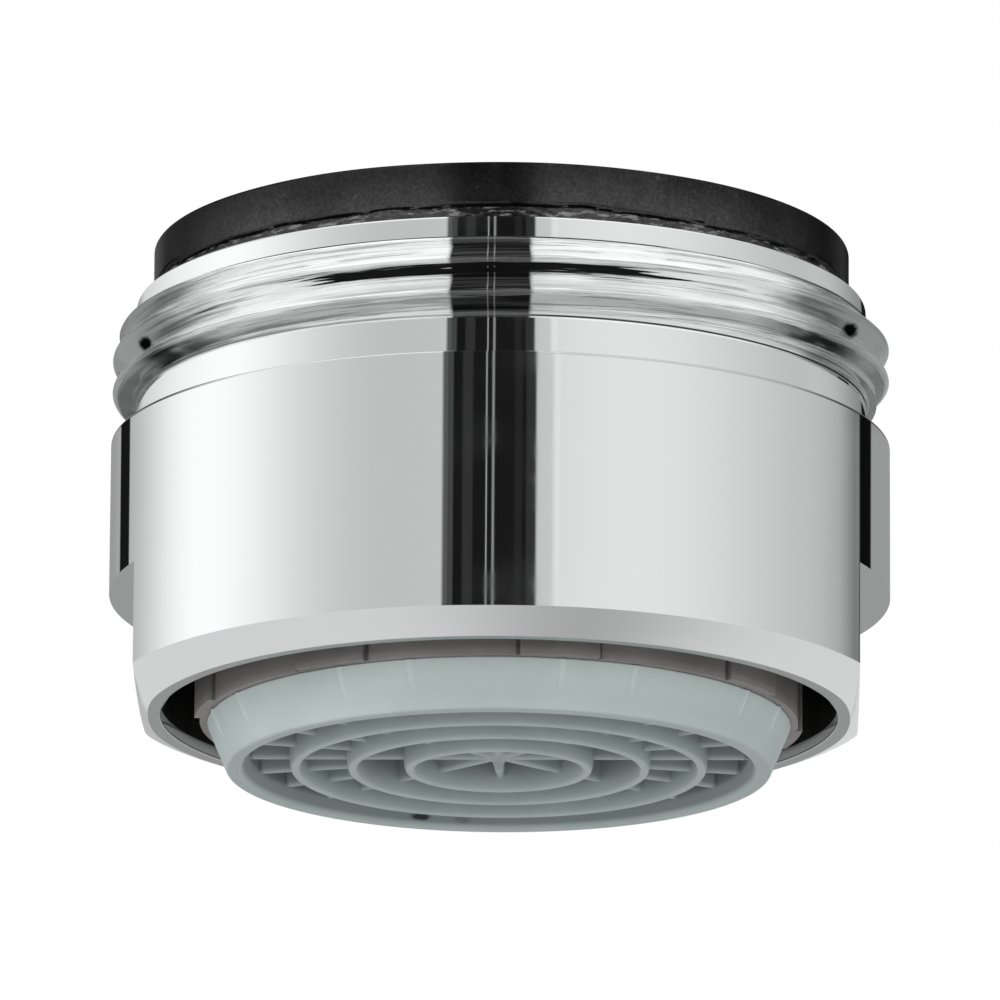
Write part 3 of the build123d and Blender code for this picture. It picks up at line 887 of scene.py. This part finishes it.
studio = {
    "floorHeight": -0.45, "floorHalf": 6.0, "floorPlain": {"Roughness": 0.9, "Specular IOR Level": 0.1},
    "floorNoise": (2.0, 3.0, 0.5), "floorTones": ((0.40, 0.405, 0.405, 1), (0.38, 0.385, 0.385, 1)),
    "softLight": (0.75, -0.75, 0.35, 2.25), "turn": 1.1, "lens": 13.1,  # the camera's turn, its mirrored way's rise
    "behind": (0.25, 0.28, 0.33, 0.62), "frontFrom": (-0.75, -0.2), "front": 0.50,
    "panels": ((-96.0, 38.0, 0.58), (40.0, 48.0, 0.33)),  # bearing, width and strength of the soft panels
    "overhead": (0.45, 0.95, 0.20, 0.97), "overheadFrom": (0.37, 0.47),
    "strip": 0.95, "stripHeight": (0.12, -0.02), "stripFront": (-0.6, 0.0), "farTone": 0.33,
    "farBack": (0.87, 0.95), "lowBack": (-0.05, 0.05, 0.50, 0.68), "lowDepth": (0.86, 0.92),
    "lowTop": (0.235, 0.17), "lowFoot": (-0.16, -0.06), "shade": (112.0, 154.0, 0.0, 0.55),
    "deepShade": (155.0, 157.0, 0.0, 0.97), "shadeFoot": (0.2525, 0.256), "shadeTop": (0.46, 0.40),
    # posts, gaps and glints: bearing, half width, soft edge and strength
    "posts": ((-146.1, 4.8, 0.6, 0.98), (136.6, 4.8, 0.8, 0.985), (129.0, 4.0, 8.0, 0.5)),
    "postTop": (0.275, 0.26), "postFoot": (-0.15, 0.0), "postDepth": (0.95, 0.87), "ahead": (0.9, 0.8),
    "gaps": ((-3.2, 13.6, 0.5, 0.988), (12.8, 2.4, 0.4, 0.18)),
    "glints": ((-16.0, 0.8, 0.2, 0.09), (-14.4, 0.7, 0.3, 0.055), (-9.5, 1.5, 0.3, 0.024), (-4.06, 0.14, 0.12, 0.50),
               (-2.1, 0.34, 0.15, 0.26), (5.2, 1.1, 0.2, 0.01), (8.8, 1.35, 0.2, 0.022), (16.6, 0.6, 0.5, 0.06)),
    "aslant": (0.10, 0.22), "aslantHeight": (-0.04, -0.18), "below": (-0.27, -0.45),
    "ground": (0.69, 0.27, 26.0, 37.0),  # tone, and depth, bearing and width of a darker place in it
}


def makeFloor():
    reach = studio["floorHalf"] / mm
    edge = np.linspace(-reach, reach, 9)
    x, y = np.meshgrid(edge, edge)
    floor = meshFromGrids("floor", [(np.stack((x, y, 0 * x + studio["floorHeight"] / mm), -1), False, False, 0)])
    material, tree, shader, place = newMaterial("floorPaper", studio["floorPlain"])
    tone = blend(tree, noise(tree, place, *studio["floorNoise"]), *studio["floorTones"])
    feed(tree, shader, {"Base Color": tone})
    floor.data.materials.append(material)
    floor.visible_glossy = False  # mirrors take the studio's own lower half


def grey(level):
    return (level, level, level, 1)


def bell(tree, value, centre, width):
    # e to the minus square of how many widths a value lies from the centre
    off = calc(tree, "DIVIDE", minus(tree, value, centre), width)
    return calc(tree, "EXPONENT", times(tree, off, off, -1.0))


def stripe(tree, value, centre, half, soft, strength):
    return ramp(tree, apart(tree, value, centre), half - soft, half + soft, strength, 0.0)


def darken(tree, tone, shade):
    return times(tree, tone, minus(tree, 1.0, shade))


def mirroredRoom(tree, way):
    # bearings are counted about the lens's mirrored way, so that a strip runs straight up every turned face
    by = ramps(tree, studio)
    turn, lens = np.radians((studio["turn"], studio["lens"]))
    up = way["Z"]
    aside = plus(tree, times(tree, way["X"], np.cos(turn)), times(tree, way["Y"], np.sin(turn)))
    depth = minus(tree, times(tree, way["Y"], np.cos(turn)), times(tree, way["X"], np.sin(turn)))
    half = calc(tree, "ARCTAN2", aside, minus(tree, np.cos(lens), depth))
    bearing = times(tree, half, 2.0)
    azimuth = calc(tree, "DEGREES", bearing)
    toFront = calc(tree, "COSINE", bearing)
    behind = by(up, "behind")
    change = times(tree, by(toFront, "frontFrom"), minus(tree, studio["front"], behind))
    room = plus(tree, behind, change)
    for centre, width, strength in studio["panels"]:
        room = plus(tree, room, times(tree, bell(tree, azimuth, centre, width), strength))
    # overhead the light is strong in front and weaker at the sides, and low down in front runs a pale strip
    room = blend(tree, by(up, "overheadFrom"), room, by(calc(tree, "COSINE", half), "overhead"))
    room = blend(tree, times(tree, by(up, "stripHeight"), by(toFront, "stripFront")), room, grey(studio["strip"]))
    # straight behind it is an even grey, which is paler low down, most at the right
    room = blend(tree, by(depth, "farBack"), room, grey(studio["farTone"]))
    low = times(tree, by(up, "lowTop"), by(up, "lowFoot"), by(depth, "lowDepth"))
    room = blend(tree, low, room, by(aside, "lowBack"))
    # a dark place high at the right behind, mirrored at the ends of collar and neck
    shade = most(tree, by(azimuth, "shade"), by(azimuth, "deepShade"))
    room = darken(tree, room, times(tree, shade, by(up, "shadeFoot"), by(up, "shadeTop")))
    # narrow posts stand behind at both sides, no higher than the body's mirror line
    tall = times(tree, by(up, "postTop"), by(up, "postFoot"), by(depth, "postDepth"))
    for post in studio["posts"]:
        room = darken(tree, room, times(tree, stripe(tree, azimuth, *post), tall))
    # gaps and the thin lights in them stand in front only, as bearings run together straight behind
    ahead = by(depth, "ahead")
    for gap in studio["gaps"]:
        room = darken(tree, room, times(tree, stripe(tree, azimuth, *gap), ahead))
    for glint in studio["glints"]:
        room = plus(tree, room, times(tree, stripe(tree, azimuth, *glint), ahead))
    # the ground below, which starts higher up at the sides and is darker in front at the right
    aslant = times(tree, by(calc(tree, "ABSOLUTE", aside), "aslant"), by(up, "aslantHeight"))
    tone, dip, centre, width = studio["ground"]
    ground = minus(tree, tone, times(tree, bell(tree, azimuth, centre, width), dip))
    return blend(tree, most(tree, by(up, "below"), aslant), room, ground)


def makeStudio():
    # the camera sees white, mirrors see the room, and matt faces are lit softly
    world = bpy.data.worlds.new("studio")
    bpy.context.scene.world = world
    world.use_nodes = True
    tree = world.node_tree
    tree.nodes.clear()
    way = axes(tree, tree.nodes.new("ShaderNodeTexCoord").outputs["Generated"])
    kinds = ((grey(1), ramp(tree, way["Y"], *studio["softLight"])), (mirroredRoom(tree, way), 1.0), (grey(1), 1.0))
    soft, panels, white = (
        addNode(tree, "ShaderNodeBackground", {"Color": colour, "Strength": strength}).outputs[0]
        for colour, strength in kinds
    )
    rays = tree.nodes.new("ShaderNodeLightPath").outputs
    bounced = most(tree, rays["Is Glossy Ray"], rays["Is Transmission Ray"])
    lit = addNode(tree, "ShaderNodeMixShader", {0: bounced, 1: soft, 2: panels}).outputs[0]
    seen = addNode(tree, "ShaderNodeMixShader", {0: rays["Is Camera Ray"], 1: lit, 2: white}).outputs[0]
    addNode(tree, "ShaderNodeOutputWorld", {"Surface": seen})


cameraView = {
    "pitch": 14.35, "roll": -0.35, "place": (-0.006, -371.7, -86.5),
    "lens": 449.57, "sensor": 36.0, "clip": (0.01, 20.0),
}


def makeCamera():
    # the long lens stands a little below the part and looks up at its outlet
    view = cameraView
    pitch, roll, turn = np.radians((view["pitch"], view["roll"], studio["turn"]))
    spin = np.array([[np.cos(turn), -np.sin(turn), 0], [np.sin(turn), np.cos(turn), 0], [0, 0, 1]])
    forward = spin @ (0, np.cos(pitch), np.sin(pitch))
    up = spin @ (0, -np.sin(pitch), np.cos(pitch))
    right = spin @ (1, 0, 0)
    across = np.cos(roll) * right - np.sin(roll) * up
    upright = np.sin(roll) * right + np.cos(roll) * up
    place = spin @ view["place"] * mm
    data = bpy.data.cameras.new("camera")
    data.lens, data.sensor_width = view["lens"], view["sensor"]
    data.clip_start, data.clip_end = view["clip"]
    camera = bpy.data.objects.new("camera", data)
    facing = Matrix(np.column_stack((across, upright, -forward))).to_4x4()
    camera.matrix_world = Matrix.Translation(Vector(place)) @ facing
    bpy.context.scene.collection.objects.link(camera)
    bpy.context.scene.camera = camera


makeFloor()
makeStudio()
makeCamera()
bpy.context.scene.view_settings.view_transform = "Standard"
print("studio ready")

bpy.context.view_layer.update()
